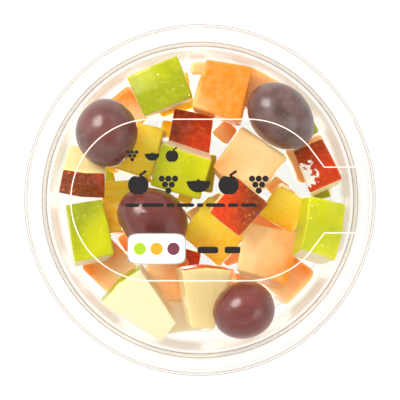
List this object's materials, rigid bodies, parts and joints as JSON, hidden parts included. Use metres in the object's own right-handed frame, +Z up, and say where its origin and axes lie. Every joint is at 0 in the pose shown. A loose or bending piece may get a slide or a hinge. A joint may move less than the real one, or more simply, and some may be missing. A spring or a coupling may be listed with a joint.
{
  "type": "fruit salad tub",
  "caption": "Clear round tub with a push-fit lid and a clear seal label, filled with cut apple, orange and yellow melon and whole red grapes.",
  "frame": {"origin": "middle of the tub's foot, on the surface that it stands on", "axes": "+Z up through the lid, +X towards the label's neck, which runs over the rim"},
  "size_m": [0.117, 0.117, 0.0603],
  "materials": {
    "clear_plastic": "clear glossy plastic",
    "clear_film": "clear film with a white printed outline",
    "green_apple": "waxy green-yellow apple skin and pale moist flesh",
    "red_apple": "waxy red apple skin and cream moist flesh",
    "melon": "moist orange melon flesh",
    "yellow_melon": "moist streaky yellow melon flesh",
    "grape": "smooth red-brown grape skin with a thin bloom"
  },
  "bodies": {
    "root": {"tub": "clear_plastic", "lid": "clear_plastic", "seal_label": "clear_film", "melon_1": "melon", "green_apple_1": "green_apple", "melon_2": "melon", "yellow_melon_1": "yellow_melon", "melon_3": "melon", "red_apple_1": "red_apple", "green_apple_2": "green_apple", "melon_4": "melon", "yellow_melon_2": "yellow_melon", "green_apple_3": "green_apple", "melon_5": "melon", "red_apple_2": "red_apple", "melon_6": "melon", "yellow_melon_3": "yellow_melon", "red_apple_3": "red_apple", "melon_7": "melon", "yellow_melon_4": "yellow_melon", "melon_8": "melon", "green_apple_4": "green_apple", "melon_offcut_1": "melon", "melon_offcut_2": "melon", "melon_offcut_3": "melon", "melon_offcut_4": "melon", "yellow_melon_offcut_1": "yellow_melon", "green_apple_offcut_1": "green_apple", "melon_offcut_5": "melon", "yellow_melon_offcut_2": "yellow_melon", "yellow_melon_5": "yellow_melon", "yellow_melon_6": "yellow_melon", "yellow_melon_7": "yellow_melon", "yellow_melon_8": "yellow_melon", "melon_9": "melon", "melon_10": "melon", "melon_11": "melon", "green_apple_5": "green_apple", "melon_12": "melon", "red_apple_4": "red_apple", "melon_13": "melon", "red_apple_5": "red_apple", "melon_14": "melon", "melon_15": "melon", "red_apple_6": "red_apple", "green_apple_6": "green_apple", "melon_16": "melon", "red_apple_7": "red_apple", "melon_17": "melon", "red_apple_8": "red_apple", "green_apple_7": "green_apple", "green_apple_8": "green_apple", "red_apple_9": "red_apple", "green_apple_9": "green_apple", "green_apple_10": "green_apple", "grape_1": "grape", "grape_2": "grape", "grape_3": "grape", "grape_4": "grape"}
  },
  "joints": []
}
